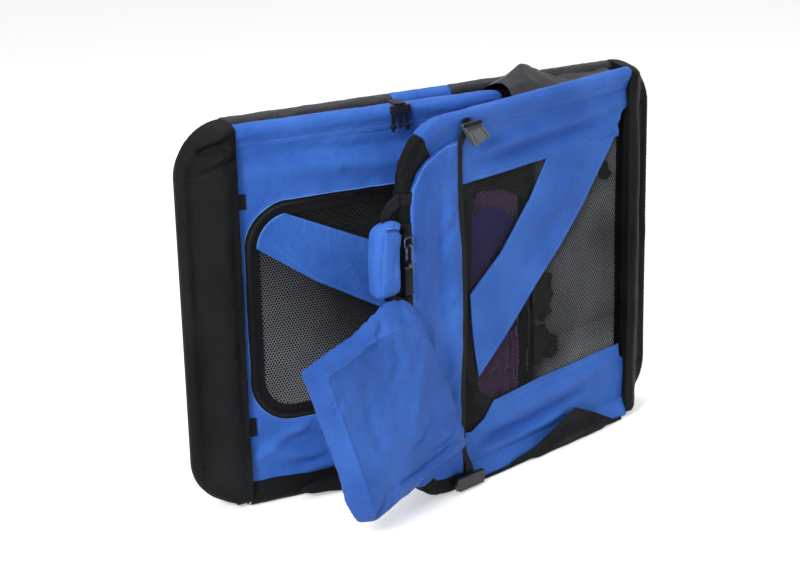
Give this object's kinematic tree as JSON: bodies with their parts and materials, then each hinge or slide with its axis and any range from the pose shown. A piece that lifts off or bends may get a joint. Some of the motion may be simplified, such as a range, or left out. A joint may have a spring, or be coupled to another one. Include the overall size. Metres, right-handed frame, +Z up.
{
  "type": "folding dog crate",
  "caption": "Soft-sided dog crate folded flat and standing on its long edge, with hinged end hoops, zip door, mesh window, straps, buckles, padded handle and a hanging bag.",
  "frame": {"origin": "on the ground, under the middle of the base frame's long lower edge", "axes": "+X along the crate's length, +Z up along its width, -Y towards the folded hoops' faces"},
  "size_m": [0.91, 0.3133, 0.6836],
  "materials": {
    "blue_fabric": "blue woven polyester",
    "black_fabric": "black woven polyester",
    "black_webbing": "black ribbed webbing and zip tape",
    "black_plastic": "moulded, low sheen",
    "steel": "grey coated tube",
    "dark_zinc": "dark plated",
    "mesh_cloth": "open dark mesh",
    "plum_fleece": "plum fleece"
  },
  "bodies": {
    "base": {"base_tube": "steel", "base_left_sleeve": "black_fabric", "base_right_sleeve": "black_fabric", "base_top_sleeve_left": "black_fabric", "base_top_blue_section": "blue_fabric", "base_top_sleeve_right": "black_fabric", "base_bottom_sleeve": "black_fabric", "floor_panel": "black_fabric", "left_side_cover": "black_fabric", "right_side_cover": "black_fabric", "left_lower_hinge_bracket": "steel", "left_upper_hinge_bracket": "steel", "right_lower_hinge_bracket": "steel", "right_upper_hinge_bracket": "steel", "left_lower_hinge_pin": "steel", "left_upper_hinge_pin": "steel", "right_lower_hinge_pin": "steel", "right_upper_hinge_pin": "steel", "upper_left_gusset": "black_fabric", "lower_left_gusset": "black_fabric", "upper_right_gusset": "black_fabric", "lower_right_gusset": "black_fabric"},
    "right_hoop": {"right_hoop_tube": "steel", "right_lower_post_sleeve": "blue_fabric", "right_upper_post_sleeve": "blue_fabric", "right_far_bar_sleeve": "black_fabric", "right_panel": "blue_fabric", "right_window_mesh": "mesh_cloth", "right_window_band": "blue_fabric", "right_padded_column": "blue_fabric", "right_strap": "black_webbing", "stowed_mat": "plum_fleece", "roof_roll": "black_fabric", "right_lower_flap": "black_fabric", "ring_keeper": "black_webbing", "d_ring": "dark_zinc"},
    "left_hoop": {"left_hoop_tube": "steel", "left_lower_post_sleeve": "blue_fabric", "left_upper_post_sleeve": "blue_fabric", "left_far_bar_sleeve": "black_fabric", "left_panel": "blue_fabric", "left_door_mesh": "mesh_cloth", "left_door_zip": "black_webbing", "left_door_band": "blue_fabric", "left_lower_fold": "black_fabric", "male_buckle_webbing": "black_webbing"},
    "handle": {"handle_webbing": "black_webbing", "handle_wrap": "blue_fabric"},
    "bag": {"snap_hook": "dark_zinc", "bag_webbing": "black_webbing", "bag_body": "blue_fabric"},
    "gate": {"hook_gate": "dark_zinc"},
    "male_buckle": {"male_buckle_body": "black_plastic"},
    "near_prong": {"male_buckle_near_prong": "black_plastic"},
    "far_prong": {"male_buckle_far_prong": "black_plastic"},
    "female_buckle": {"female_buckle": "black_plastic"},
    "lower_buckle": {"lower_buckle": "black_plastic"},
    "zip_slider": {"door_zip_slider": "dark_zinc"},
    "zip_pull": {"door_zip_pull": "dark_zinc"}
  },
  "joints": [
    {"name": "right_end_fold", "type": "hinge", "parent": "base", "child": "right_hoop", "pos_m": [0.385, -0.05, 0.013], "axis": [0, 0, 1], "range_deg": [-7.6, 74.7], "deforming": ["upper_right_gusset", "lower_right_gusset"]},
    {"name": "left_end_fold", "type": "hinge", "parent": "base", "child": "left_hoop", "pos_m": [-0.385, -0.03, 0.013], "axis": [0, 0, -1], "range_deg": [-4.1, 39], "deforming": ["upper_left_gusset", "lower_left_gusset"]},
    {"name": "handle_swing", "type": "hinge", "parent": "right_hoop", "child": "handle", "pos_m": [-0.1499, -0.18634, 0.45], "axis": [0, 0, 1], "range_deg": [-35, 0]},
    {"name": "bag_swing", "type": "hinge", "parent": "right_hoop", "child": "bag", "pos_m": [-0.15801, -0.21524, 0.45942], "axis": [-0.969, -0.247, 0], "range_deg": [0, 60]},
    {"name": "hook_gate_hinge", "type": "hinge", "parent": "bag", "child": "gate", "pos_m": [-0.1564, -0.22154, 0.44192], "axis": [-0.969, -0.247, 0], "range_deg": [0, 18], "stiffness_Nm_per_rad": 0.02, "springref_deg": -5.73},
    {"name": "male_buckle_swing", "type": "hinge", "parent": "left_hoop", "child": "male_buckle", "pos_m": [-0.08385, -0.06706, 0.6513], "axis": [-0.9976, 0.0698, 0], "range_deg": [0, 45]},
    {"name": "near_prong_flex", "type": "hinge", "parent": "male_buckle", "child": "near_prong", "pos_m": [-0.09636, -0.06673, 0.63285], "axis": [-0.0698, -0.9976, 0], "range_deg": [0, 6], "stiffness_Nm_per_rad": 0.05},
    {"name": "far_prong_flex", "type": "hinge", "parent": "male_buckle", "child": "far_prong", "pos_m": [-0.07142, -0.06848, 0.63285], "axis": [-0.0698, -0.9976, 0], "range_deg": [-6, 0], "stiffness_Nm_per_rad": 0.05},
    {"name": "female_buckle_swing", "type": "hinge", "parent": "right_hoop", "child": "female_buckle", "pos_m": [-0.01944, -0.16981, 0.633], "axis": [-0.969, -0.247, 0], "range_deg": [0, 50]},
    {"name": "lower_buckle_swing", "type": "hinge", "parent": "right_hoop", "child": "lower_buckle", "pos_m": [-0.02768, -0.17191, 0.028], "axis": [-0.969, -0.247, 0], "range_deg": [0, 40]},
    {"name": "zip_slide", "type": "slide", "parent": "left_hoop", "child": "zip_slider", "axis": [0.9976, -0.0698, 0], "range_m": [-0.215, 0.08]},
    {"name": "zip_pull_swing", "type": "hinge", "parent": "zip_slider", "child": "zip_pull", "pos_m": [-0.05648, -0.0627, 0.145], "axis": [-0.9976, 0.0698, 0], "range_deg": [0, 150]}
  ],
  "couplings": [
    {"joint": "left_end_fold", "follows": "right_end_fold", "ratio": 0.52},
    {"joint": "far_prong_flex", "follows": "near_prong_flex", "ratio": -1}
  ]
}
